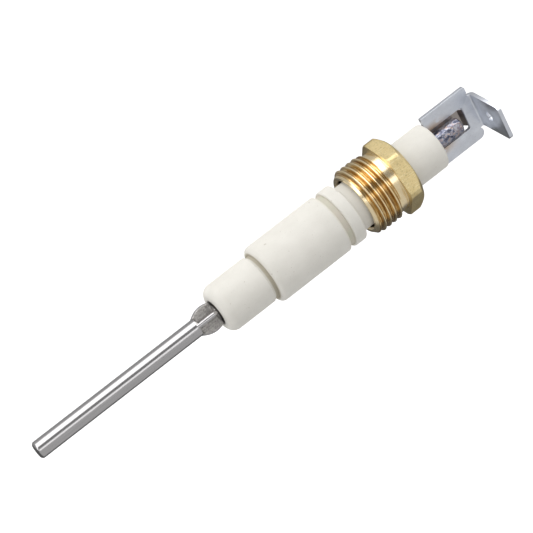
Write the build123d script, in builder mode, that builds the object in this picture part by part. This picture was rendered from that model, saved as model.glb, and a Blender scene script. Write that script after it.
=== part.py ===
"""Flame sensor probe: a steel electrode rod in a ceramic insulator, with a brass gland nut and a terminal.

Frame, in millimetres: X runs along the probe from the tip of the rod to the terminal, +Z up is the way
the terminal's tab points. The origin is on the axis, midway along the insulator's barrel, which centres
the probe in its holder.
"""
from build123d import *
import os
from math import cos, radians, sin, sqrt, tan

# ---- insulator: lengths along the axis, then diameters
BARREL_LENGTH = 16.2
FRONT_LENGTH = 11.0  # slim end in front of the barrel
GROOVE_WIDTH = 1.2
COLLAR_LENGTH = 2.5
NECK_LENGTH = 21.1  # slim end behind the collar, which carries the gland nut
BARREL_DIAMETER = 12.0
FRONT_DIAMETER = 9.8
NECK_DIAMETER = 9.6
FRONT_GROOVE_WIDTH = 0.9  # narrow groove at the foot of the barrel
FRONT_GROOVE_DIAMETER = 9.1
GROOVE_DIAMETER = 10.8
INSULATOR_BORE = 4.7
NOSE_RADIUS = 1.8
BARREL_FRONT_RADIUS = 1.0
GLAZED_EDGE_RADIUS = 0.3
REAR_END_RADIUS = 0.5
BORE_MOUTH_CHAMFER = 0.25

# ---- electrode rod
ROD_DIAMETER = 3.5
ROD_EXPOSED = 41.0  # from its tip to the insulator's nose
ROD_IN_TERMINAL = 6.65  # how far it stands out of the insulator's rear end
TIP_CHAMFER = 0.35
END_PLAY = 0.15  # gap at each end between the insulator and what traps it

# ---- staked ears: the rod pressed into a cross, so that it can't be drawn through the bore
EAR_LENGTH = 4.6
EAR_REACH = 2.7  # from the axis to the highest point of an ear
EAR_PEAK = 2.3  # from the front of an ear to its highest point
EAR_HEEL = 2.4  # from the axis to the ear's edge where it bears on the insulator
EAR_THICKNESS = 0.95
EAR_EDGE_RADIUS = 0.42
EAR_TURN = 57.0  # angle of the first ear from +Y towards +Z
NOTCH_START = 0.35  # from the front of the ears to the notches between them
NOTCH_RUN_OUT = 0.35

# ---- gland nut
THREAD_DIAMETER = 14.0
THREAD_PITCH = 1.25
THREAD_ROOT_DIAMETER = 12.55
THREAD_LENGTH = 5.95
RELIEF_DIAMETER = 12.7
RELIEF_LENGTH = 1.8
HEX_ACROSS_FLATS = 14.0
HEX_THICKNESS = 3.3
HEX_TURN = 38.4  # angle of one corner of the hex from +Y towards +Z, as the nut lies at rest
HEX_CORNER_DIAMETER = 15.8
HEX_EDGE_CHAMFER = 0.22
NUT_BORE = 10.5
NUT_FACE_DIAMETER = 12.2
NUT_LEAD_IN = 0.95
NUT_GAP = 2.1  # from the insulator's collar to the nut's front face, at rest
BORE_CHAMFER = 0.3

# ---- terminal: one stamping
SHEET = 0.8
PLATE_WIDTH = 11.5
PLATE_LENGTH = 10.8  # from the insulator's rear end to the plate's shoulders
PLATE_BELOW_AXIS = 0.4  # the plate's upper face lies this far under the rod's axis
WINDOW_WIDTH = 5.0
WINDOW_LENGTH = 8.6
WINDOW_CORNER_RADIUS = 0.5
SADDLE_WIDTH = 3.8
SADDLE_RAMP = 65.0  # slope of the ramp from the plate down to the saddle
WELD_SINK = 0.05  # how far the weld lets the rod into the saddle
SHOULDER_RADII = (0.4, 1.2)  # at the +Y and at the -Y corner
TAB_WIDTH = 7.4
TAB_LENGTH = 9.2  # the tab's straight length above its bend
TAB_LEAN = 3.0  # the tab is bent this far past square, towards the insulator
TAB_INNER_FACE = 11.2  # from the insulator's rear end to the tab's inner face, at the bend
TAB_CHAMFER = 0.6
BEND_RADIUS = 0.4  # inside the bend
RELIEF_NOTCH = 0.55
TAB_HOLE_DIAMETER = 2.1
TAB_HOLE_HEIGHT = 4.1  # up the tab from its bend
WELD_MARK_FROM_END = 3.9
WELD_MARK_TURN = 28.0  # from +Z towards +Y
WELD_MARK_SPAN = 1.5
WELD_MARK_WIDTH = 0.3
WELD_MARK_DEPTH = 0.12

# ---- places along the axis
barrel_front = -BARREL_LENGTH / 2
barrel_rear = BARREL_LENGTH / 2
front_groove = barrel_front - FRONT_GROOVE_WIDTH
nose = barrel_front - FRONT_LENGTH
collar_front = barrel_rear + GROOVE_WIDTH
collar_rear = collar_front + COLLAR_LENGTH
insulator_end = collar_rear + NECK_LENGTH
tip = nose - ROD_EXPOSED
rod_end = insulator_end + ROD_IN_TERMINAL
ear_end = nose - END_PLAY
ear_start = ear_end - EAR_LENGTH
nut_front = collar_rear + NUT_GAP
relief_start = nut_front + THREAD_LENGTH
hex_front = relief_start + RELIEF_LENGTH
nut_rear = hex_front + HEX_THICKNESS


def across(x):
    """The plane across the probe at x: its own x is +Y, its own y is +Z."""
    return Plane(origin=(x, 0, 0), x_dir=(0, 1, 0), z_dir=(1, 0, 0))


def ring_edges(part, x, diameter):
    """The circular edges of a turned part at x with this diameter."""
    return part.edges().filter_by(
        lambda e: e.geom_type == GeomType.CIRCLE
        and abs(e.arc_center.X - x) < 0.01
        and abs(2 * e.radius - diameter) < 0.01
    )


# ================================================================ ceramic insulator
with BuildPart() as ceramic_insulator:
    with BuildSketch(Plane.XY):
        with BuildLine():
            Polyline(
                (nose, INSULATOR_BORE / 2),
                (nose, FRONT_DIAMETER / 2),
                (front_groove, FRONT_DIAMETER / 2),
                (front_groove, FRONT_GROOVE_DIAMETER / 2),
                (barrel_front, FRONT_GROOVE_DIAMETER / 2),
                (barrel_front, BARREL_DIAMETER / 2),
                (barrel_rear, BARREL_DIAMETER / 2),
                (barrel_rear, GROOVE_DIAMETER / 2),
                (collar_front, GROOVE_DIAMETER / 2),
                (collar_front, BARREL_DIAMETER / 2),
                (collar_rear, BARREL_DIAMETER / 2),
                (collar_rear, NECK_DIAMETER / 2),
                (insulator_end, NECK_DIAMETER / 2),
                (insulator_end, INSULATOR_BORE / 2),
                close=True,
            )
        make_face()
    revolve(axis=Axis.X)
    fillet(ring_edges(ceramic_insulator, nose, FRONT_DIAMETER), NOSE_RADIUS)
    fillet(ring_edges(ceramic_insulator, front_groove, FRONT_DIAMETER), GLAZED_EDGE_RADIUS)
    fillet(ring_edges(ceramic_insulator, barrel_front, BARREL_DIAMETER), BARREL_FRONT_RADIUS)
    for edge_x in (barrel_rear, collar_front, collar_rear):
        fillet(ring_edges(ceramic_insulator, edge_x, BARREL_DIAMETER), GLAZED_EDGE_RADIUS)
    fillet(ring_edges(ceramic_insulator, insulator_end, NECK_DIAMETER), REAR_END_RADIUS)
    for edge_x in (nose, insulator_end):
        chamfer(ring_edges(ceramic_insulator, edge_x, INSULATOR_BORE), BORE_MOUTH_CHAMFER)

# ================================================================ one staked ear, standing up along +Y
with BuildPart() as ear:
    with BuildSketch(Plane.XY):
        with BuildLine():
            ThreePointArc(
                (ear_start, ROD_DIAMETER / 2 - 0.05),
                (ear_start + EAR_PEAK, EAR_REACH),
                (ear_end, EAR_HEEL),
            )
            Polyline(
                (ear_end, EAR_HEEL),
                (ear_end, 0),
                (ear_start, 0),
                (ear_start, ROD_DIAMETER / 2 - 0.05),
            )
        make_face()
    extrude(amount=EAR_THICKNESS / 2, both=True)
    fillet(ear.edges().filter_by(GeomType.CIRCLE), EAR_EDGE_RADIUS)

# ================================================================ electrode rod
with BuildPart() as electrode_rod:
    with BuildSketch(across(tip)):
        Circle(ROD_DIAMETER / 2)
    extrude(amount=rod_end - tip)
    for edge_x in (tip, rod_end):
        chamfer(ring_edges(electrode_rod, edge_x, ROD_DIAMETER), TIP_CHAMFER)

    # a V-shaped notch pressed in from each quarter, deepest along its middle
    notch_floor = EAR_THICKNESS / 2
    notch_edge = ROD_DIAMETER / 2 / sqrt(2) + 0.02
    notch_arm = EAR_REACH
    notch_start = ear_start + NOTCH_START
    notch_sections = (
        (notch_start, notch_edge),
        (notch_start + NOTCH_RUN_OUT, notch_floor),
        (ear_end - NOTCH_RUN_OUT, notch_floor),
        (ear_end, notch_edge),
    )
    for quarter in range(4):
        turned = radians(EAR_TURN + 90 * quarter)
        for section_x, apex in notch_sections:
            section = Plane(
                origin=(section_x, 0, 0),
                x_dir=(0, cos(turned), sin(turned)),
                z_dir=(1, 0, 0),
            )
            with BuildSketch(section):
                with BuildLine():
                    Polyline(
                        (apex, apex),
                        (apex + notch_arm, apex),
                        (apex, apex + notch_arm),
                        close=True,
                    )
                make_face()
        loft(ruled=True, mode=Mode.SUBTRACT)

    # the metal pressed out of the notches stands up as four ears
    for quarter in range(4):
        add(ear.part.rotate(Axis.X, EAR_TURN + 90 * quarter))

    # the crossed dents that the welding tip leaves on the rod's end
    mark_turn = radians(WELD_MARK_TURN)
    mark_outward = Vector(0, sin(mark_turn), cos(mark_turn))
    mark_centre = Vector(insulator_end + WELD_MARK_FROM_END, 0, 0)
    mark_depth = ROD_DIAMETER / 2 - WELD_MARK_DEPTH
    mark_plane = Plane(origin=mark_centre + mark_outward * mark_depth, x_dir=(1, 0, 0), z_dir=mark_outward)
    with BuildSketch(mark_plane):
        for slant in (45, -45):
            Rectangle(WELD_MARK_SPAN, WELD_MARK_WIDTH, rotation=slant)
    extrude(amount=ROD_DIAMETER / 2, mode=Mode.SUBTRACT)

# ================================================================ gland nut
with BuildPart() as gland_nut:
    with BuildSketch(across(hex_front)):
        RegularPolygon(HEX_ACROSS_FLATS / 2, 6, major_radius=False, rotation=HEX_TURN)
    extrude(amount=HEX_THICKNESS)
    chamfer(gland_nut.edges().filter_by(Axis.X), HEX_EDGE_CHAMFER)

    # the hex is turned to a blunt cone at its rear edge, and its corners are taken down
    corner = HEX_CORNER_DIAMETER / 2
    flat = HEX_ACROSS_FLATS / 2 - 0.25
    with BuildSketch(Plane.XY):
        with BuildLine():
            Polyline(
                (hex_front, 0),
                (hex_front, corner - 0.15),
                (hex_front + 0.15, corner),
                (nut_rear - (corner - flat) * tan(radians(40)), corner),
                (nut_rear, flat),
                (nut_rear, 0),
                close=True,
            )
        make_face()
    revolve(axis=Axis.X, mode=Mode.INTERSECT)

    # threaded sleeve with a lead-in chamfer and a thread relief
    crest = THREAD_DIAMETER / 2
    relief = RELIEF_DIAMETER / 2
    with BuildSketch(Plane.XY):
        with BuildLine():
            Polyline(
                (nut_front, 0),
                (nut_front, NUT_FACE_DIAMETER / 2),
                (nut_front + NUT_LEAD_IN, crest),
                (relief_start, crest),
                (relief_start + (crest - relief) / 2, relief),
                (hex_front, relief),
                (hex_front, 0),
                close=True,
            )
        make_face()
    revolve(axis=Axis.X)

    with BuildSketch(across(nut_front)):
        Circle(NUT_BORE / 2)
    extrude(amount=nut_rear - nut_front, mode=Mode.SUBTRACT)
    for edge_x in (nut_front, nut_rear):
        chamfer(ring_edges(gland_nut, edge_x, NUT_BORE), BORE_CHAMFER)

    # the thread groove: one right-hand helix, from in front of the nut into the relief
    root = THREAD_ROOT_DIAMETER / 2
    groove_start = nut_front - THREAD_PITCH
    groove_top = crest + 0.06
    root_half_width = THREAD_PITCH / 8
    top_half_width = root_half_width + (groove_top - root) * tan(radians(30))
    with BuildLine() as thread_path:
        Helix(
            pitch=THREAD_PITCH,
            height=relief_start + RELIEF_LENGTH / 2 - groove_start,
            radius=root,
            center=(groove_start, 0, 0),
            direction=(1, 0, 0),
        )
    start = thread_path.line @ 0
    outward = Vector(0, start.Y, start.Z).normalized()
    with BuildSketch(Plane(origin=start, x_dir=outward, z_dir=thread_path.line % 0)):
        with BuildLine():
            Polyline(
                (0, -root_half_width),
                (groove_top - root, -top_half_width),
                (groove_top - root, top_half_width),
                (0, root_half_width),
                close=True,
            )
        make_face()
    sweep(path=thread_path.line, is_frenet=True, mode=Mode.SUBTRACT)

# ================================================================ terminal
with BuildPart() as terminal_bracket:
    plate_start = insulator_end + END_PLAY
    plate_top = -PLATE_BELOW_AXIS
    plate_bottom = plate_top - SHEET
    shoulder = insulator_end + PLATE_LENGTH
    window_end = insulator_end + WINDOW_LENGTH
    tab_inner = insulator_end + TAB_INNER_FACE
    half_plate = PLATE_WIDTH / 2
    half_tab = TAB_WIDTH / 2

    # flat plate with square shoulders, and a relief notch at each side of the tab
    with BuildSketch(Plane.XY.offset(plate_bottom)):
        with BuildLine():
            Polyline(
                (plate_start, -half_plate),
                (shoulder, -half_plate),
                (shoulder, half_plate),
                (plate_start, half_plate),
                close=True,
            )
        make_face()
        for side, radius in zip((1, -1), SHOULDER_RADII):
            fillet(
                vertices().filter_by(
                    lambda v: v.X > shoulder - 0.01 and abs(v.Y - side * half_plate) < 0.01
                ),
                radius,
            )
        for side in (1, -1):
            with Locations((shoulder, side * (half_tab + RELIEF_NOTCH / 2))):
                Circle(RELIEF_NOTCH / 2 + 0.02, mode=Mode.SUBTRACT)
    extrude(amount=SHEET)

    # window for the rod, open towards the insulator
    with BuildSketch(Plane.XY.offset(plate_bottom)):
        with Locations(((plate_start + window_end) / 2, 0)):
            Rectangle(window_end - plate_start, WINDOW_WIDTH)
        fillet(vertices().group_by(Axis.X)[-1], WINDOW_CORNER_RADIUS)
    extrude(amount=SHEET, mode=Mode.SUBTRACT)

    # saddle: the metal of the window, pressed down to lie under the rod
    saddle_top = WELD_SINK - ROD_DIAMETER / 2
    saddle_bottom = saddle_top - SHEET
    ramp_length = (plate_top - saddle_top) / tan(radians(SADDLE_RAMP))
    back_shift = SHEET * tan(radians(SADDLE_RAMP / 2))
    saddle_root = window_end + SHEET
    with BuildSketch(Plane.XZ.offset(-SADDLE_WIDTH / 2)):
        with BuildLine():
            Polyline(
                (plate_start, saddle_top),
                (window_end - ramp_length, saddle_top),
                (window_end, plate_top),
                (saddle_root, plate_top),
                (saddle_root, plate_bottom),
                (window_end + back_shift, plate_bottom),
                (window_end - ramp_length + back_shift, saddle_bottom),
                (plate_start, saddle_bottom),
                close=True,
            )
        make_face()
    extrude(amount=SADDLE_WIDTH)

    # tab, bent up from the end of the plate to a little past square
    bend_outer = BEND_RADIUS + SHEET
    bend_x = tab_inner - BEND_RADIUS
    bend_z = plate_top + BEND_RADIUS
    bend_root = shoulder - 2 * RELIEF_NOTCH
    lean = radians(TAB_LEAN)
    bend_plane = Plane(origin=(bend_x, 0, bend_z), x_dir=(0, 1, 0), z_dir=(cos(lean), 0, sin(lean)))
    corners = [
        bend_plane.from_local_coords((0, up, out))
        for up, out in (
            (0, bend_outer),
            (TAB_LENGTH, bend_outer),
            (TAB_LENGTH, BEND_RADIUS),
            (0, BEND_RADIUS),
        )
    ]
    with BuildSketch(Plane.XZ.offset(-half_tab)):
        with BuildLine():
            Line((bend_root, plate_bottom), (bend_x, plate_bottom))
            CenterArc((bend_x, bend_z), bend_outer, -90, 90 + TAB_LEAN)
            Polyline(*[(corner.X, corner.Z) for corner in corners])
            CenterArc((bend_x, bend_z), BEND_RADIUS, -90, 90 + TAB_LEAN)
            Polyline((bend_x, plate_top), (bend_root, plate_top), (bend_root, plate_bottom))
        make_face()
    extrude(amount=TAB_WIDTH)
    tab_end = corners[1].Z
    tab_corners = edges().filter_by(
        lambda e: abs(e.length - SHEET) < 0.01
        and e.center().Z > tab_end - 0.1
        and abs(abs(e.center().Y) - half_tab) < 0.01
    )
    chamfer(tab_corners, TAB_CHAMFER)
    with BuildSketch(bend_plane.offset(BEND_RADIUS)):
        with Locations((0, TAB_HOLE_HEIGHT)):
            Circle(TAB_HOLE_DIAMETER / 2)
    extrude(amount=SHEET, mode=Mode.SUBTRACT)

# ================================================================ one STEP per piece
os.makedirs("parts", exist_ok=True)
pieces = {
    "ceramic_insulator": ceramic_insulator,
    "electrode_rod": electrode_rod,
    "gland_nut": gland_nut,
    "terminal_bracket": terminal_bracket,
}
for node, piece in pieces.items():
    piece.part.label = node
    export_step(piece.part, f"parts/{node}.step")
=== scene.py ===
"""Looks of the flame sensor probe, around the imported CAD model.

Blender works in metres. Shapes here are worked out in millimetres, in the CAD frame: X along the probe
from the tip of the rod to the terminal, +Z the way the tab points.
"""
from math import atan2, cos, hypot, pi, radians, sin, sqrt, tan

import bmesh
import bpy
from mathutils import Matrix, Vector


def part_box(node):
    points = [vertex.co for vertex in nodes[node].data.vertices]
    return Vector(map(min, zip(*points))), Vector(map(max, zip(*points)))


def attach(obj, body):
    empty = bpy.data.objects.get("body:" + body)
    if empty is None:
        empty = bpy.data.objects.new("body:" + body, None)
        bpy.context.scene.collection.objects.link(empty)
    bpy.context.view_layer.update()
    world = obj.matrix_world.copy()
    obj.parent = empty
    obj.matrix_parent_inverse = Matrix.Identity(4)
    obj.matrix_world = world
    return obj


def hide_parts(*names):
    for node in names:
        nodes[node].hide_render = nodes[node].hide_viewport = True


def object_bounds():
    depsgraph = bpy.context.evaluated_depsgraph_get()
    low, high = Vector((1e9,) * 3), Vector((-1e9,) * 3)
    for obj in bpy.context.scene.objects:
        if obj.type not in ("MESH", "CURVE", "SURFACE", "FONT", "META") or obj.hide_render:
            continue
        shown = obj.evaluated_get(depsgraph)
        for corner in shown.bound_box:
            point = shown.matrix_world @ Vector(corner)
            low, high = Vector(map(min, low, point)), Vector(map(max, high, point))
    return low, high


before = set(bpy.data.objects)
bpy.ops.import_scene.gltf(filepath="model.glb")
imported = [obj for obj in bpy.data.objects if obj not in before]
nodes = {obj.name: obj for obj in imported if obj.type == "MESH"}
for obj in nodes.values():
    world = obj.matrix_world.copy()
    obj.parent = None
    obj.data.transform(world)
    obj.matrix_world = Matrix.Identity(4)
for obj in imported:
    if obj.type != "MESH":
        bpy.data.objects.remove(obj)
cad_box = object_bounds()
MM = 0.001


def reach(node):
    """Lowest x, highest x and largest y of a CAD node, in millimetres."""
    low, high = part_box(node)
    return low.x / MM, high.x / MM, high.y / MM


# ---------------------------------------------------------------- sizes, in millimetres
# Down to HEX_TURN these are the CAD model's sizes, but for three: the thread's root is 0.015 shallower, the
# hexagon's corners are turned down 0.05 further, and the weld mark's arms are 0.02 wider on each side.
nose, insulator_end, barrel_radius = reach("ceramic_insulator")
tip, rod_end, _ = reach("electrode_rod")
nut_front, nut_rear, _ = reach("gland_nut")
FRONT_RADIUS = 4.9
NECK_RADIUS = 4.8
GROOVE_RADIUS = 5.4
BORE_RADIUS = 2.35
BARREL_FRONT = nose + 11.0
BARREL_REAR = BARREL_FRONT + 16.2
COLLAR_FRONT = BARREL_REAR + 1.2
COLLAR_REAR = COLLAR_FRONT + 2.5
FRONT_GROOVE = BARREL_FRONT - 0.9
FRONT_GROOVE_RADIUS = 4.55
NOSE_RADIUS = 1.8
SHOULDER_RADIUS = 1.0
GLAZED_EDGE = 0.3
REAR_EDGE = 0.5
MOUTH_CHAMFER = 0.25

ROD_RADIUS = 1.75
ROD_CHAMFER = 0.35
EAR_END = nose - 0.15
EAR_START = EAR_END - 4.6
EAR_REACH = 2.7
EAR_PEAK = EAR_START + 2.3
EAR_HEEL = 2.4
EAR_HALF = 0.475
EAR_ROUNDING = 0.42
EAR_TURN = radians(57)
NOTCH_START = EAR_START + 0.35
NOTCH_RAMP = 0.35
MARK_X = insulator_end + 3.9
MARK_ANGLE = radians(90 - 28)
MARK_ARM = 0.75
MARK_HALF_WIDTH = 0.17
MARK_DEPTH = 0.12

PITCH = 1.25
CREST_RADIUS = 7.0
ROOT_RADIUS = 6.29
RELIEF_RADIUS = 6.35
NUT_BORE = 5.25
NUT_FACE = 6.1
NUT_CHAMFER = 0.3
LEAD_IN = 0.95
RELIEF_START = nut_front + 5.95
HEX_FRONT = RELIEF_START + 1.8
HEX_FLAT = 7.0
HEX_CORNER = 7.85
HEX_TURN = radians(38.4)
# details of the visible shape alone
HEX_SOFTNESS = 0.12
REAR_CONE_RADIUS = HEX_FLAT - 0.25
REAR_CONE_SLOPE = tan(radians(40))
FRONT_CONE_RADIUS = HEX_CORNER - 0.2
FRONT_CONE_SLOPE = 1.1
FRONT_FACE_LIMIT = 7.6
RUN_OUT = 0.33  # length over which the thread fades into the relief

TERMINAL_EDGE = 0.07  # rounding that blanking and plating leave on the sheet
CREASE = radians(38)  # sharpest angle that is shaded smooth


# ---------------------------------------------------------------- mesh helpers
def round_off(centre, start, end, steps):
    """Points of the arc about a centre from one point to another, the short way."""
    first = atan2(start.y - centre.y, start.x - centre.x)
    sweep = atan2(end.y - centre.y, end.x - centre.x) - first
    sweep = (sweep + pi) % (2 * pi) - pi
    radius = (start - centre).length
    angles = [first + sweep * step / steps for step in range(steps + 1)]
    return [(centre.x + radius * cos(angle), centre.y + radius * sin(angle)) for angle in angles]


def turned_profile(corners, steps=6, support=0.12):
    """A closed profile through corners (x, radius, rounding), with a point just beside each rounding."""
    points = []
    count = len(corners)
    for index, (x, r, rounding) in enumerate(corners):
        here = Vector((x, r))
        back = (Vector(corners[index - 1][:2]) - here).normalized()
        onward = (Vector(corners[(index + 1) % count][:2]) - here).normalized()
        half = back.angle(onward) / 2
        setback = rounding / tan(half)
        centre = here + (back + onward).normalized() * rounding / sin(half)
        points.append(tuple(here + back * (setback + support)))
        points += round_off(centre, here + back * setback, here + onward * setback, steps)
        points.append(tuple(here + onward * (setback + support)))
    return points


def ring_object(name, rings, body, node, closed):
    """A piece from rings of (x, y, z) in millimetres, each ring closed; an open row of rings is capped."""
    count = len(rings[0])
    points = [point for ring in rings for point in ring]
    spans = len(rings) if closed else len(rings) - 1
    faces = []
    for row in range(spans):
        low = row * count
        high = (row + 1) % len(rings) * count
        for column in range(count):
            after = (column + 1) % count
            faces.append((low + column, low + after, high + after, high + column))
    if not closed:
        for ring, base in ((rings[0], 0), (rings[-1], (len(rings) - 1) * count)):
            points.append((ring[0][0], 0, 0))
            for column in range(count):
                after = (column + 1) % count
                rim = (base + after, base + column) if base == 0 else (base + column, base + after)
                faces.append((*rim, len(points) - 1))
    mesh = bpy.data.meshes.new(name)
    mesh.from_pydata([tuple(value * MM for value in point) for point in points], [], faces)
    return finish_piece(name, mesh, body, node)


def finish_piece(name, mesh, body, node):
    """A smooth-shaded piece with crisp edges, which rides on a body and stands for a CAD node."""
    mesh.shade_smooth()
    mesh.set_sharp_from_angle(angle=CREASE)
    piece = bpy.data.objects.new(name, mesh)
    bpy.context.scene.collection.objects.link(piece)
    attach(piece, body)
    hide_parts(node)
    return piece


def around(x, radii, angles):
    """One ring at x, with a radius for each angle from +Y towards +Z."""
    return [(x, radius * cos(angle), radius * sin(angle)) for radius, angle in zip(radii, angles)]


def even_angles(count):
    return [2 * pi * step / count for step in range(count)]


def row_adder(rings, angles):
    """A function that adds a ring at each x, its radius given by a function of x and the angle."""

    def add_rows(xs, radius_at):
        for x in xs:
            rings.append(around(x, [radius_at(x, angle) for angle in angles], angles))

    return add_rows


def level(radius):
    """The same radius at every x and angle."""
    return lambda x, angle: radius


def smooth_step(low, high, value):
    """0 below low and 1 above high, smoothly."""
    share = min(max((value - low) / (high - low), 0), 1)
    return share * share * (3 - 2 * share)


def soft_least(a, b, softness):
    """The lesser of two values, rounded where they cross."""
    gap = max(softness - abs(a - b), 0) / softness
    return min(a, b) - gap * gap * softness / 4


# ---------------------------------------------------------------- ceramic insulator
def make_insulator():
    mouth = MOUTH_CHAMFER
    corners = (
        (nose, BORE_RADIUS + mouth, 0.06),
        (nose, FRONT_RADIUS, NOSE_RADIUS),
        (FRONT_GROOVE, FRONT_RADIUS, 0.22),
        (FRONT_GROOVE, FRONT_GROOVE_RADIUS, 0.04),
        (BARREL_FRONT, FRONT_GROOVE_RADIUS, 0.1),
        (BARREL_FRONT, barrel_radius, SHOULDER_RADIUS),
        (BARREL_REAR, barrel_radius, GLAZED_EDGE),
        (BARREL_REAR, GROOVE_RADIUS, 0.15),
        (COLLAR_FRONT, GROOVE_RADIUS, 0.15),
        (COLLAR_FRONT, barrel_radius, GLAZED_EDGE),
        (COLLAR_REAR, barrel_radius, GLAZED_EDGE),
        (COLLAR_REAR, NECK_RADIUS, 0.18),
        (insulator_end, NECK_RADIUS, REAR_EDGE),
        (insulator_end, BORE_RADIUS + mouth, 0.06),
        (insulator_end - mouth, BORE_RADIUS, 0.06),
        (nose + mouth, BORE_RADIUS, 0.06),
    )
    angles = even_angles(160)
    rings = [around(x, [r] * len(angles), angles) for x, r in turned_profile(corners, 8, 0.04)]
    return ring_object("insulator", rings, "insulator", "ceramic_insulator", True)


# ---------------------------------------------------------------- gland nut
def thread_surface(x, angle):
    """The thread, from its lead-in chamfer on."""
    along = (x - nut_front) / PITCH - angle / (2 * pi)
    from_root = abs((along % 1) - 0.5) * PITCH
    groove = ROOT_RADIUS + max(from_root - 0.15, 0) * sqrt(3)
    thread = soft_least(groove, CREST_RADIUS, 0.10)
    lead = NUT_FACE + (x - nut_front) * (CREST_RADIUS - NUT_FACE) / LEAD_IN
    return soft_least(thread, lead, 0.08)


def run_out_surface(x, angle):
    """The thread where it fades into the relief."""
    return soft_least(thread_surface(x, angle), CREST_RADIUS - (x - RELIEF_START) * 2, 0.1)


def hex_surface(x, angle):
    """The hexagon, its corners turned down, with a turned cone at each of its edges."""
    from_corner = (angle - HEX_TURN) % (pi / 3) - pi / 6
    flat = HEX_FLAT / cos(from_corner)
    radius = soft_least(flat, HEX_CORNER, HEX_SOFTNESS)
    cone = REAR_CONE_RADIUS + (nut_rear - x) / REAR_CONE_SLOPE
    front = FRONT_CONE_RADIUS + (x - HEX_FRONT) * FRONT_CONE_SLOPE
    return soft_least(soft_least(radius, cone, 0.14), front, 0.08)


def make_nut():
    angles = even_angles(288)
    rings = []
    add_rows = row_adder(rings, angles)
    thread_rows = 92
    thread_length = RELIEF_START - nut_front
    thread_xs = [nut_front + thread_length * row / thread_rows for row in range(thread_rows + 1)]
    add_rows(thread_xs, thread_surface)
    add_rows([RELIEF_START + RUN_OUT * part for part in (0.34, 0.67, 1.0)], run_out_surface)
    relief_xs = [RELIEF_START + RUN_OUT + 0.03, RELIEF_START + RUN_OUT + 0.12]
    relief_xs += [HEX_FRONT - 0.22, HEX_FRONT - 0.1]
    add_rows(relief_xs, level(RELIEF_RADIUS))
    add_rows([HEX_FRONT - 0.03], level(RELIEF_RADIUS + 0.03))
    add_rows([HEX_FRONT], level(RELIEF_RADIUS + 0.12))
    add_rows([HEX_FRONT], lambda x, angle: min(hex_surface(HEX_FRONT, angle), FRONT_FACE_LIMIT) - 0.12)
    hex_length = nut_rear - HEX_FRONT
    # rows along the hexagon, closest together over the cone at its rear
    shares = (0, 0.02, 0.05, 0.08, 0.2, 0.4, 0.55, 0.62, 0.66)
    shares += (0.70, 0.74, 0.78, 0.82, 0.86, 0.90, 0.94, 0.97, 0.985)
    add_rows([HEX_FRONT + hex_length * share for share in shares], hex_surface)
    add_rows([nut_rear], level(REAR_CONE_RADIUS - 0.06))
    add_rows([nut_rear], level(REAR_CONE_RADIUS - 0.16))
    add_rows([nut_rear], level(NUT_BORE + NUT_CHAMFER))
    add_rows([nut_rear - NUT_CHAMFER, nut_front + NUT_CHAMFER], level(NUT_BORE))
    add_rows([nut_front], level(NUT_BORE + NUT_CHAMFER))
    add_rows([nut_front], level(NUT_FACE - 0.12))
    return ring_object("nut", rings, "nut", "gland_nut", True)


# ---------------------------------------------------------------- electrode rod
def rod_angles():
    """Angles about the rod, closest together where the sides of the ears begin."""
    quarter = (0, 2, 4, 6, 7.5, 8.6, 9.4, 10.2, 11, 12, 13.2, 14.6, 16.5, 19, 22, 25.5, 29.5, 34, 39)
    one_side = [radians(degrees) for degrees in quarter] + [radians(45)]
    both = [-angle for angle in reversed(one_side[1:])] + one_side[:-1]
    return [EAR_TURN + corner * pi / 2 + angle for corner in range(4) for angle in both]


def ear_top(x):
    """How far an ear reaches from the axis at x, along a parabola through its start, peak and heel."""
    first, peak, heel = ((EAR_START, ROD_RADIUS - 0.05), (EAR_PEAK, EAR_REACH), (EAR_END, EAR_HEEL))
    orders = ((first, peak, heel), (peak, first, heel), (heel, first, peak))
    return sum((x - b[0]) * (x - c[0]) / ((a[0] - b[0]) * (a[0] - c[0])) * a[1] for a, b, c in orders)


def ear_radius(top, from_ear):
    """Radius of one ear's section, a fin with flat sides and a rounded edge, at an angle from its middle."""
    out, side = cos(from_ear), max(sin(from_ear), 1e-4)
    flank = EAR_HALF / side
    if flank * out <= top - EAR_ROUNDING:
        return flank
    centre_side, centre_out = EAR_HALF - EAR_ROUNDING, top - EAR_ROUNDING
    if top / out * side <= centre_side:
        return top / out
    toward = centre_side * side + centre_out * out
    return toward + sqrt(max(toward**2 - centre_side**2 - centre_out**2 + EAR_ROUNDING**2, 0))


def staked_radius(x, angle):
    """The rod pressed in from four sides, with the ears that this raises."""
    from_ear = abs((angle - EAR_TURN + pi / 4) % (pi / 2) - pi / 4)
    ramp = smooth_step(NOTCH_START, NOTCH_START + NOTCH_RAMP, x)
    ramp *= 1 - smooth_step(EAR_END - NOTCH_RAMP, EAR_END, x)
    apex = ROD_RADIUS / sqrt(2) * (1 - ramp) + EAR_HALF * ramp
    body = min(ROD_RADIUS, apex / max(sin(from_ear), 1e-4))
    top = ear_top(x)
    return max(body, ear_radius(top, from_ear)) if top > ROD_RADIUS else body


def marked_radius(x, angle):
    """The rod's end, with the crossed dents of the welding tip."""
    across = ((angle - MARK_ANGLE + pi) % (2 * pi) - pi) * ROD_RADIUS
    along = x - MARK_X
    inside = 1 - smooth_step(MARK_ARM - 0.12, MARK_ARM, hypot(along, across))
    dent = 0.0
    for sign in (1, -1):
        off = abs(along + sign * across) / sqrt(2)
        dent = max(dent, 1 - smooth_step(MARK_HALF_WIDTH * 0.4, MARK_HALF_WIDTH, off))
    return ROD_RADIUS - MARK_DEPTH * dent * inside


def spread(low, high, count):
    """Evenly spaced values from low to high, both included."""
    return [low + (high - low) * step / count for step in range(count + 1)]


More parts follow.
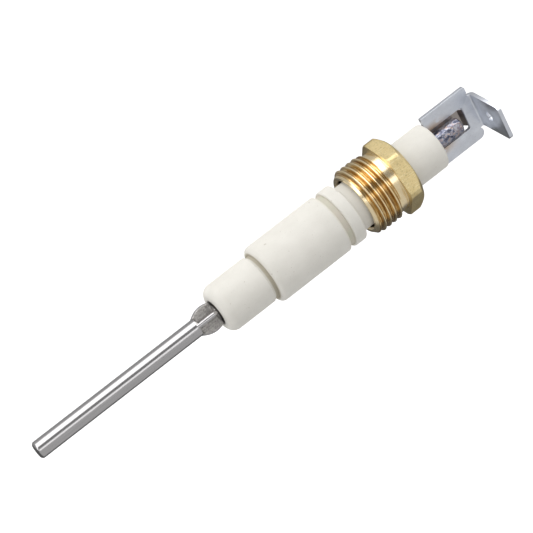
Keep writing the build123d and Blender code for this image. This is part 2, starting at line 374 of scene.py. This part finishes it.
def make_rod():
    angles = rod_angles()
    rings = []
    add_rows = row_adder(rings, angles)
    plain = level(ROD_RADIUS)
    flat_radius = ROD_RADIUS - ROD_CHAMFER
    add_rows([tip], level(flat_radius * 0.5))
    add_rows([tip], level(flat_radius - 0.06))
    add_rows([tip + 0.02], level(flat_radius))
    add_rows([tip + ROD_CHAMFER - 0.03], level(ROD_RADIUS - 0.03))
    add_rows([tip + ROD_CHAMFER + 0.03, tip + 0.6], plain)
    add_rows(spread(tip + 2, EAR_START - 0.4, 14), plain)
    add_rows([EAR_START - 0.08], plain)
    add_rows(spread(EAR_START, EAR_END, 46), staked_radius)
    add_rows([EAR_END + 0.02, EAR_END + 0.5], plain)
    add_rows(spread(nose + 2, insulator_end - 0.5, 16), plain)
    add_rows(spread(insulator_end, MARK_X - MARK_ARM - 0.2, 6), plain)
    add_rows(spread(MARK_X - MARK_ARM - 0.1, MARK_X + MARK_ARM + 0.1, 36), marked_radius)
    add_rows([rod_end - 0.6, rod_end - ROD_CHAMFER - 0.03], plain)
    add_rows([rod_end - ROD_CHAMFER + 0.03], level(ROD_RADIUS - 0.03))
    add_rows([rod_end - 0.02], level(flat_radius))
    add_rows([rod_end], level(flat_radius - 0.06))
    add_rows([rod_end], level(flat_radius * 0.5))
    return ring_object("rod", rings, "electrode", "electrode_rod", False)


# ---------------------------------------------------------------- terminal
def make_terminal():
    """The stamping with the soft edges that blanking and plating leave."""
    shape = bmesh.new()
    shape.from_mesh(nodes["terminal_bracket"].data)
    bmesh.ops.scale(shape, vec=(1 / MM, 1 / MM, 1 / MM), verts=shape.verts)
    bmesh.ops.remove_doubles(shape, verts=shape.verts, dist=0.001)
    bmesh.ops.dissolve_limit(shape, angle_limit=radians(1), verts=shape.verts, edges=shape.edges)
    crisp = [edge for edge in shape.edges if edge.is_manifold and edge.calc_face_angle() > radians(50)]
    rounding = {"offset": TERMINAL_EDGE, "segments": 3, "profile": 0.5}
    bmesh.ops.bevel(shape, geom=crisp, affect="EDGES", clamp_overlap=True, **rounding)
    bmesh.ops.triangulate(shape, faces=[face for face in shape.faces if len(face.verts) > 4])
    bmesh.ops.scale(shape, vec=(MM, MM, MM), verts=shape.verts)
    # the bevel lists its elements in an order that varies from run to run, so they are sorted by place
    for elements in (shape.verts, shape.edges, shape.faces):
        places = {part: sorted(tuple(vert.co) for vert in getattr(part, "verts", [part])) for part in elements}
        rank = {part: index for index, part in enumerate(sorted(elements, key=places.get))}
        elements.sort(key=rank.get)
    mesh = bpy.data.meshes.new("terminal")
    shape.to_mesh(mesh)
    shape.free()
    return finish_piece("terminal", mesh, "electrode", "terminal_bracket")


# ---------------------------------------------------------------- materials
class Graph:
    """A material and short ways to add nodes to it. Places are in millimetres, in the CAD frame."""

    def __init__(self, name):
        self.material = bpy.data.materials.new(name)
        self.material.use_nodes = True
        self.tree = self.material.node_tree
        self.shader = self.tree.nodes["Principled BSDF"]
        coordinates = self.tree.nodes.new("ShaderNodeTexCoord")
        self.place = self.vector("SCALE", coordinates.outputs["Object"], scale=1 / MM)
        parts = self.node("ShaderNodeSeparateXYZ", {0: self.place})
        self.x, self.y, self.z = parts.outputs
        facing = self.node("ShaderNodeSeparateXYZ", {0: coordinates.outputs["Normal"]})
        self.facing_up = facing.outputs[2]
        squares = self.add(self.math("POWER", self.y, 2), self.math("POWER", self.z, 2))
        self.radius = self.math("SQRT", squares)

    def node(self, kind, values, **settings):
        made = self.tree.nodes.new(kind)
        for key, value in settings.items():
            setattr(made, key, value)
        for key, value in values.items():
            if isinstance(value, bpy.types.NodeSocket):
                self.tree.links.new(value, made.inputs[key])
            else:
                made.inputs[key].default_value = value
        return made

    def math(self, operation, a, b=0.0):
        return self.node("ShaderNodeMath", {0: a, 1: b}, operation=operation).outputs[0]

    def add(self, a, b):
        return self.math("ADD", a, b)

    def times(self, a, b):
        return self.math("MULTIPLY", a, b)

    def vector(self, operation, a, b=None, scale=None):
        values = {0: a}
        if b is not None:
            values[1] = b
        if scale is not None:
            values["Scale"] = scale
        return self.node("ShaderNodeVectorMath", values, operation=operation).outputs[0]

    def rise(self, value, low, high):
        """0 below low and 1 above high, smoothly; low above high falls instead."""
        values = {"Value": value, "From Min": low, "From Max": high}
        return self.node("ShaderNodeMapRange", values, interpolation_type="SMOOTHSTEP").outputs[0]

    def band(self, value, low, high, soft):
        """1 between low and high, falling to 0 over a soft edge outside them."""
        return self.times(self.rise(value, low - soft, low), self.rise(value, high + soft, high))

    def noise(self, scales, detail=3.0, roughness=0.5, distortion=0.0):
        """Noise from 0 to 1 with this many features per millimetre along x, y and z."""
        values = {
            "Vector": self.vector("MULTIPLY", self.place, scales),
            "Scale": 1.0,
            "Detail": detail,
            "Roughness": roughness,
            "Distortion": distortion,
        }
        return self.node("ShaderNodeTexNoise", values).outputs["Fac"]

    def ramp(self, factor, stops):
        made = self.node("ShaderNodeValToRGB", {0: factor})
        elements = made.color_ramp.elements
        while len(elements) < len(stops):
            elements.new(0.5)
        for element, (position, colour) in zip(elements, stops):
            element.position = position
            element.color = (*colour, 1)
        return made.outputs["Color"]

    def mix(self, factor, a, b):
        """Colour a where the factor is 0 and b where it is 1."""
        made = self.node("ShaderNodeMix", {0: factor}, data_type="RGBA")
        for index, value in ((6, a), (7, b)):
            if isinstance(value, bpy.types.NodeSocket):
                self.tree.links.new(value, made.inputs[index])
            else:
                made.inputs[index].default_value = (*value, 1)
        return made.outputs[2]

    def grey(self, factor, low, high):
        """A value from low to high as the factor goes from 0 to 1."""
        values = {"Value": factor, "To Min": low, "To Max": high}
        return self.node("ShaderNodeMapRange", values).outputs[0]

    def finish(self, colour, roughness, heights, metallic):
        """Links the shader. heights are (height, depth in millimetres) pairs, each a bump."""
        self.tree.links.new(colour, self.shader.inputs["Base Color"])
        self.tree.links.new(roughness, self.shader.inputs["Roughness"])
        self.shader.inputs["Metallic"].default_value = metallic
        normal = None
        for height, depth in heights:
            values = {"Height": height, "Strength": 1.0, "Distance": depth * MM}
            if normal is not None:
                values["Normal"] = normal
            normal = self.node("ShaderNodeBump", values).outputs["Normal"]
        self.tree.links.new(normal, self.shader.inputs["Normal"])
        return self.material


def ceramic():
    g = Graph("ceramic")
    cloud = g.noise((0.25, 0.35, 0.35), 4)
    body = g.ramp(cloud, ((0.3, (0.665, 0.645, 0.592)), (0.7, (0.715, 0.695, 0.642))))
    grain = g.noise((5, 5, 5), 3)
    body = g.mix(g.rise(grain, 0.62, 0.78), body, (0.60, 0.575, 0.52))
    speck = g.noise((2.3, 2.3, 2.3), 1)
    body = g.mix(g.times(g.rise(speck, 0.74, 0.80), 0.55), body, (0.36, 0.31, 0.24))
    deposit_and_shade = g.ramp(cloud, ((0.4, (0.52, 0.46, 0.37)), (0.6, (0.44, 0.44, 0.31))))
    # painted shade with a brownish deposit in the two grooves, darkest in the front one, each only below the
    # surface beside it
    along_rear = g.band(g.x, BARREL_REAR + 0.15, COLLAR_FRONT + 0.05, 0.25)
    rear_groove_shade = g.times(along_rear, g.rise(g.radius, 5.8, 5.5))
    along_front = g.band(g.x, FRONT_GROOVE + 0.45, BARREL_FRONT, 0.3)
    front_groove_shade = g.times(along_front, g.rise(g.radius, 5.35, 4.85))
    body = g.mix(g.times(rear_groove_shade, 0.6), body, deposit_and_shade)
    body = g.mix(g.times(front_groove_shade, 0.8), body, (0.36, 0.32, 0.23))
    glaze = g.times(g.band(g.x, BARREL_REAR - 0.35, BARREL_REAR, 0.12), g.rise(g.radius, 5.6, 5.8))
    body = g.mix(g.times(glaze, 0.3), body, (0.64, 0.60, 0.50))
    # painted shade: the bore's mouth darkened near the nose
    bore_mouth_shade = g.times(g.rise(g.radius, 2.9, 2.45), g.rise(g.x, nose + 4, nose))
    body = g.mix(g.times(bore_mouth_shade, 0.8), body, (0.10, 0.09, 0.08))
    roughness = g.grey(grain, 0.5, 0.72)
    pores = g.noise((11, 11, 11), 2)
    return g.finish(body, roughness, ((grain, 0.012), (pores, 0.006)), 0.0)


def brass():
    g = Graph("brass")
    on_hex = g.rise(g.x, HEX_FRONT - 0.05, HEX_FRONT + 0.02)
    threaded = g.band(g.x, nut_front + 0.5, RELIEF_START, 0.1)
    stain = g.noise((0.5, 0.6, 0.6), 4)
    turned = g.ramp(stain, ((0.3, (0.90, 0.74, 0.46)), (0.7, (0.97, 0.82, 0.55))))
    flats = g.ramp(stain, ((0.3, (0.69, 0.55, 0.275)), (0.7, (0.77, 0.625, 0.33))))
    body = g.mix(on_hex, turned, flats)
    streak = g.noise((11, 0.2, 0.2), 2, 0.6)
    # painted shade and reflection: the thread's roots darker and browner
    root = g.times(g.rise(g.radius, 6.97, 6.62), threaded)
    root_shade_tones = ((0.38, (0.26, 0.12, 0.02)), (0.5, (0.52, 0.30, 0.08)), (0.62, (0.86, 0.66, 0.34)))
    root_shade_colour = g.ramp(streak, root_shade_tones)
    body = g.mix(g.times(root, 0.92), body, root_shade_colour)
    # painted shade inside the bore, with a guessed duller finish there
    bore_shade = g.rise(g.radius, 5.5, 5.35)
    body = g.mix(g.times(bore_shade, 0.6), body, (0.42, 0.31, 0.16))
    bar_marks = g.noise((0.7, 6, 6), 5, 0.6)
    pits = g.noise((3.5, 5, 5), 4)
    pitted = g.times(g.rise(pits, 0.52, 0.68), on_hex)
    body = g.mix(g.times(pitted, 0.6), body, (0.40, 0.31, 0.15))
    scratched = g.times(g.rise(bar_marks, 0.54, 0.64), on_hex)
    body = g.mix(g.times(scratched, 0.45), body, (0.95, 0.85, 0.56))
    turning = g.noise((16, 0.05, 0.05), 3)
    roughness = g.mix(on_hex, g.grey(turning, 0.14, 0.27), g.grey(bar_marks, 0.28, 0.44))
    lathe_marks = g.times(g.add(turning, g.times(streak, 0.8)), g.math("SUBTRACT", 1.0, on_hex))
    hex_marks = g.times(g.add(bar_marks, g.times(pits, 1.3)), on_hex)
    return g.finish(body, roughness, ((lathe_marks, 0.012), (hex_marks, 0.045)), 1.0)


def rod_steel():
    g = Graph("rod steel")
    drawn = g.noise((0.12, 22, 22), 4, 0.65)
    body = g.ramp(drawn, ((0.3, (0.44, 0.43, 0.435)), (0.7, (0.54, 0.53, 0.53))))
    scuffs = g.noise((1.2, 2.5, 2.5), 4)
    body = g.mix(g.times(g.rise(scuffs, 0.64, 0.74), 0.35), body, (0.25, 0.24, 0.25))
    heated = g.rise(g.x, insulator_end - 2.5, insulator_end - 0.5)
    mottle = g.noise((0.62, 0.9, 0.9), 4, 0.6, 0.5)
    tint = g.ramp(
        mottle,
        (
            (0.38, (0.04, 0.045, 0.08)),
            (0.45, (0.15, 0.16, 0.23)),
            (0.50, (0.42, 0.44, 0.52)),
            (0.53, (0.50, 0.36, 0.28)),
            (0.57, (0.20, 0.185, 0.25)),
            (0.66, (0.50, 0.49, 0.54)),
        ),
    )
    body = g.mix(g.times(heated, 0.9), body, tint)
    # the pressed sides of the ears, which their rounded edges are not part of
    along_ear = g.add(g.times(g.y, cos(EAR_TURN)), g.times(g.z, sin(EAR_TURN)))
    across_ear = g.add(g.times(g.y, -sin(EAR_TURN)), g.times(g.z, cos(EAR_TURN)))
    nearer = g.math("MINIMUM", g.math("ABSOLUTE", along_ear), g.math("ABSOLUTE", across_ear))
    pressed = g.times(g.band(g.x, NOTCH_START, EAR_END, 0.12), g.rise(nearer, 0.36, 0.46))
    die = g.noise((3.4, 2.4, 2.4), 3, 0.6, 0.4)
    side = g.ramp(die, ((0.35, (0.24, 0.23, 0.22)), (0.65, (0.46, 0.44, 0.42))))
    body = g.mix(g.times(pressed, 0.9), body, side)
    smooth = g.grey(drawn, 0.13, 0.25)
    rough_zone = g.math("MAXIMUM", g.times(heated, 0.6), pressed)
    roughness = g.mix(rough_zone, smooth, g.grey(mottle, 0.26, 0.46))
    serration = g.math("SINE", g.times(g.x, 2 * pi / 0.34))
    cross = g.math("SINE", g.times(g.radius, 2 * pi / 0.42))
    die_marks = g.times(g.add(g.times(g.add(serration, cross), 0.35), g.times(die, 2)), pressed)
    weld_texture = g.times(g.noise((1.6, 2.2, 2.2), 4), heated)
    return g.finish(body, roughness, ((drawn, 0.003), (die_marks, 0.035), (weld_texture, 0.16)), 1.0)


def plated_sheet():
    g = Graph("plated sheet")
    cloud = g.noise((0.35, 0.45, 0.4), 4)
    body = g.ramp(cloud, ((0.3, (0.66, 0.685, 0.74)), (0.7, (0.79, 0.82, 0.88))))
    grain = g.noise((2.2, 7, 7), 4)
    body = g.mix(g.times(g.rise(grain, 0.56, 0.72), 0.35), body, (0.48, 0.48, 0.51))
    beside_weld = g.rise(g.math("ABSOLUTE", g.y), 4.4, 2.5)
    near_weld = g.times(g.rise(g.x, insulator_end + 6.5, insulator_end + 1.0), beside_weld)
    tint = g.times(near_weld, g.rise(g.noise((0.6, 0.9, 0.9), 3), 0.26, 0.46))
    body = g.mix(g.times(tint, 0.8), body, (0.50, 0.33, 0.18))
    # painted shade on the upper side of the saddle under the rod, with a guessed heat tint from the weld
    in_window = g.times(g.rise(g.z, -0.5, -0.75), g.rise(g.math("ABSOLUTE", g.y), 2.2, 2.0))
    saddle_shade_and_tint = g.times(in_window, g.rise(g.facing_up, 0.05, 0.3))
    body = g.mix(g.times(saddle_shade_and_tint, 0.7), body, (0.26, 0.19, 0.13))
    roughness = g.grey(grain, 0.27, 0.42)
    dents = g.noise((0.8, 0.9, 0.9), 3)
    return g.finish(body, roughness, ((grain, 0.010), (dents, 0.06)), 1.0)


for piece, material in (
    (make_insulator(), ceramic()),
    (make_rod(), rod_steel()),
    (make_nut(), brass()),
    (make_terminal(), plated_sheet()),
):
    piece.data.materials.append(material)

# ---------------------------------------------------------------- camera
LEAN = radians(14.0)  # how far the terminal end leans away from the camera
RISE = radians(37.7)  # how steeply the probe rises to the right in the picture
TURN = radians(32.8)  # how far +Z is turned away from the camera about the probe's axis
DISTANCE = 0.4559
FOCAL_PIXELS = 2500.0
ORIGIN_RIGHT = 0.00556  # where the frame's origin stands, right of and above the centre of the picture
ORIGIN_UP = 0.0030
PICTURE = 533.0

right = Vector((cos(RISE), sin(RISE), 0))
above = Vector((-sin(RISE), cos(RISE), 0))
near = Vector((0, 0, 1))
axis_in_view = cos(LEAN) * right - sin(LEAN) * near
face_in_view = cos(LEAN) * near + sin(LEAN) * right
z_in_view = cos(TURN) * face_in_view - sin(TURN) * above
y_in_view = cos(TURN) * above + sin(TURN) * face_in_view
to_view = Matrix((axis_in_view, y_in_view, z_in_view)).transposed()
camera_data = bpy.data.cameras.new("camera")
camera_data.sensor_width = 36
camera_data.lens = camera_data.sensor_width * FOCAL_PIXELS / PICTURE
camera = bpy.data.objects.new("camera", camera_data)
bpy.context.scene.collection.objects.link(camera)
to_frame = to_view.inverted()
camera_place = to_frame @ -Vector((ORIGIN_RIGHT, ORIGIN_UP, -DISTANCE))
camera.matrix_world = Matrix.Translation(camera_place) @ to_frame.to_4x4()
bpy.context.scene.camera = camera
bpy.context.scene.view_settings.view_transform = "Standard"

# ---------------------------------------------------------------- floor
FLOOR_DROP = 0.03
FLOOR_HALF = 3.0
floor_z = cad_box[0][2] - FLOOR_DROP
corners = [(FLOOR_HALF * x, FLOOR_HALF * y, floor_z) for x, y in ((-1, -1), (1, -1), (1, 1), (-1, 1))]
floor_data = bpy.data.meshes.new("floor")
floor_data.from_pydata(corners, [], [(0, 1, 2, 3)])
floor = bpy.data.objects.new("floor", floor_data)
bpy.context.scene.collection.objects.link(floor)
floor_material = bpy.data.materials.new("floor")
floor_material.use_nodes = True
floor_shader = floor_material.node_tree.nodes["Principled BSDF"]
floor_shader.inputs["Base Color"].default_value = (0.9, 0.9, 0.9, 1)
floor_shader.inputs["Roughness"].default_value = 0.9
floor_shader.inputs["Emission Color"].default_value = (1, 1, 1, 1)
floor_shader.inputs["Emission Strength"].default_value = 0.5
floor_data.materials.append(floor_material)
floor.visible_glossy = False

# ---------------------------------------------------------------- backdrop, which only the camera sees
BACKDROP_RADIUS = 2.8
dome = bmesh.new()
bmesh.ops.create_uvsphere(dome, u_segments=48, v_segments=24, radius=BACKDROP_RADIUS)
backdrop_data = bpy.data.meshes.new("backdrop")
dome.to_mesh(backdrop_data)
dome.free()
backdrop = bpy.data.objects.new("backdrop", backdrop_data)
bpy.context.scene.collection.objects.link(backdrop)
backdrop_material = bpy.data.materials.new("backdrop")
backdrop_material.use_nodes = True
backdrop_shader = backdrop_material.node_tree.nodes["Principled BSDF"]
backdrop_shader.inputs["Base Color"].default_value = (0, 0, 0, 1)
backdrop_shader.inputs["Specular IOR Level"].default_value = 0
backdrop_shader.inputs["Emission Color"].default_value = (1, 1, 1, 1)
backdrop_shader.inputs["Emission Strength"].default_value = 0.96
backdrop_data.materials.append(backdrop_material)
for kind in ("diffuse", "glossy", "transmission", "volume_scatter", "shadow"):
    setattr(backdrop, f"visible_{kind}", False)

# ---------------------------------------------------------------- studio
# brightness of the studio by its angle about the probe, 0 towards the camera and 90 above it
BANDS = (
    (-180, 0.12),
    (-130, 0.14),
    (-114, 0.62),
    (-22, 0.62),
    (-17, 1.8),
    (-5, 1.8),
    (1, 0.28),
    (28, 0.28),
    (37, 2.6),
    (76, 2.6),
    (90, 0.62),
    (150, 0.40),
    (180, 0.12),
)
BAND_SCALE = 3.0
world = bpy.data.worlds.new("studio")
bpy.context.scene.world = world
world.use_nodes = True
tree = world.node_tree
background = tree.nodes["Background"]
view_direction = tree.nodes.new("ShaderNodeTexCoord")
dots = []
for direction in (to_frame @ face_in_view, to_frame @ above):
    dot = tree.nodes.new("ShaderNodeVectorMath")
    dot.operation = "DOT_PRODUCT"
    dot.inputs[1].default_value = direction
    tree.links.new(view_direction.outputs["Generated"], dot.inputs[0])
    dots.append(dot.outputs["Value"])
about = tree.nodes.new("ShaderNodeMath")
about.operation = "ARCTAN2"
tree.links.new(dots[1], about.inputs[0])
tree.links.new(dots[0], about.inputs[1])
share = tree.nodes.new("ShaderNodeMapRange")
share.inputs["From Min"].default_value = -pi
share.inputs["From Max"].default_value = pi
tree.links.new(about.outputs[0], share.inputs["Value"])
bands = tree.nodes.new("ShaderNodeValToRGB")
elements = bands.color_ramp.elements
while len(elements) < len(BANDS):
    elements.new(0.5)
for element, (angle, level) in zip(elements, BANDS):
    element.position = (angle + 180) / 360
    element.color = (level / BAND_SCALE,) * 3 + (1,)
tree.links.new(share.outputs[0], bands.inputs[0])
tree.links.new(bands.outputs[0], background.inputs["Color"])
background.inputs["Strength"].default_value = BAND_SCALE
